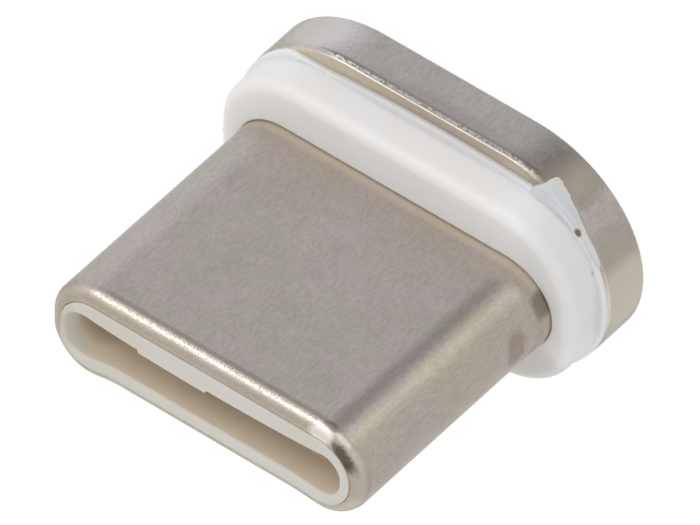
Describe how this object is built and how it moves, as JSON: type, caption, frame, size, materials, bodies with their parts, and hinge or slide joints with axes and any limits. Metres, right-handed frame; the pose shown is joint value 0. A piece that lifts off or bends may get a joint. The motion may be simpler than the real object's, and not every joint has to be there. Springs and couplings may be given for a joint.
{
  "type": "magnetic usb-c adapter tip",
  "caption": "Small reversible plug tip with a white moulded collar and a flat oval steel flange that a magnetic cable end grips.",
  "frame": {"origin": "centre of the flange's flat rear face, which the part stands on", "axes": "+Z along the plug, out of its mouth; +X across the plug's wide way; +Y across its thin way"},
  "size_m": [0.0098, 0.0056, 0.0084],
  "materials": {
    "flange_steel": "satin nickel plate, mottled",
    "white_moulding": "semi-gloss moulded white",
    "shell_nickel": "satin nickel plate, fine grain",
    "rim_moulding": "matte off-white moulding",
    "black_moulding": "matte black moulding",
    "latch_steel": "stamped stainless sheet",
    "board": "green solder mask",
    "contact_gold": "gold flash over copper alloy"
  },
  "bodies": {
    "root": {"flange": "flange_steel", "collar": "white_moulding", "plug_shell": "shell_nickel", "front_insulator": "rim_moulding", "upper_carrier": "black_moulding", "lower_carrier": "black_moulding", "latch_plate": "latch_steel", "circuit_board": "board", "chip_resistor": "black_moulding", "rear_insert": "black_moulding", "upper_contact_1": "contact_gold", "upper_contact_4": "contact_gold", "upper_contact_5": "contact_gold", "upper_contact_6": "contact_gold", "upper_contact_7": "contact_gold", "upper_contact_9": "contact_gold", "upper_contact_12": "contact_gold", "lower_contact_1": "contact_gold", "lower_contact_4": "contact_gold", "lower_contact_9": "contact_gold", "lower_contact_12": "contact_gold", "rear_pin_1": "contact_gold", "rear_pin_2": "contact_gold", "rear_pin_3": "contact_gold", "rear_pin_4": "contact_gold", "rear_pin_5": "contact_gold"}
  },
  "joints": []
}
